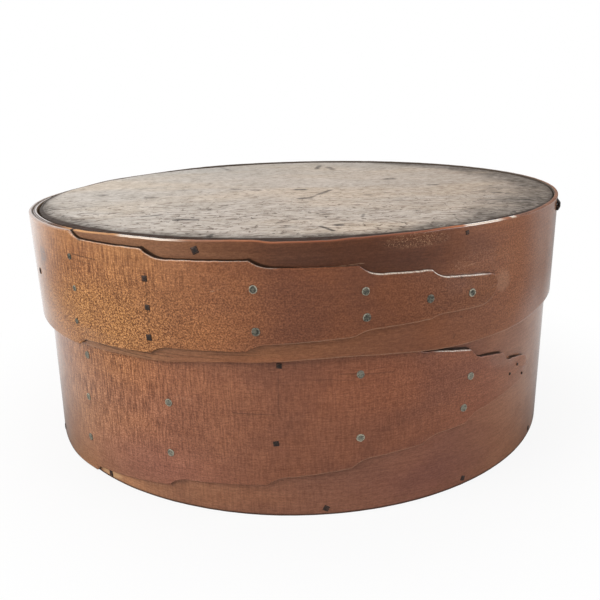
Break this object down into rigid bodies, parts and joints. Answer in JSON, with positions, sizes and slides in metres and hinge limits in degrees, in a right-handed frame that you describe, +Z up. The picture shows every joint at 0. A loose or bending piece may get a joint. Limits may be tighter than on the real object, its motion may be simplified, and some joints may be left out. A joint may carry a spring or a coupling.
{
  "type": "round bentwood box",
  "caption": "Round bentwood cheese box with a deep lift-off lid; each band is lapped into a stepped tapering finger, tacked, and nailed round a solid board.",
  "frame": {"origin": "centre of the underside of the bottom board, on the axis of the bands", "axes": "+Z up along the axis of the box; the tapering fingers of both laps face -Y and point to +X"},
  "size_m": [0.3052, 0.3052, 0.132],
  "materials": {
    "band_wood": "old amber-brown shellac, glossy, worn paler at the edges",
    "board_wood": "bare pine, darkened with age",
    "lid_board_wood": "weathered grey-brown pine, blackened round the edge, faint satin sheen",
    "tack_metal": "dull, tarnished grey-green",
    "dark_iron": "rusted dark brown-black"
  },
  "bodies": {
    "base": {"base_band": "band_wood", "bottom_board": "board_wood", "base_lap_tacks": "tack_metal", "base_lap_iron_tacks": "dark_iron", "base_lap_tip_brads": "dark_iron", "bottom_board_nails": "dark_iron"},
    "lid": {"lid_band": "band_wood", "lid_board": "lid_board_wood", "lid_lap_tacks": "tack_metal", "lid_lap_small_tacks": "tack_metal", "lid_lap_iron_tacks": "dark_iron", "lid_board_nails": "dark_iron", "lid_proud_nail": "dark_iron"}
  },
  "joints": [
    {"name": "lid_lift", "type": "slide", "parent": "base", "child": "lid", "axis": [0, 0, 1], "range_m": [0, 0.1]}
  ]
}
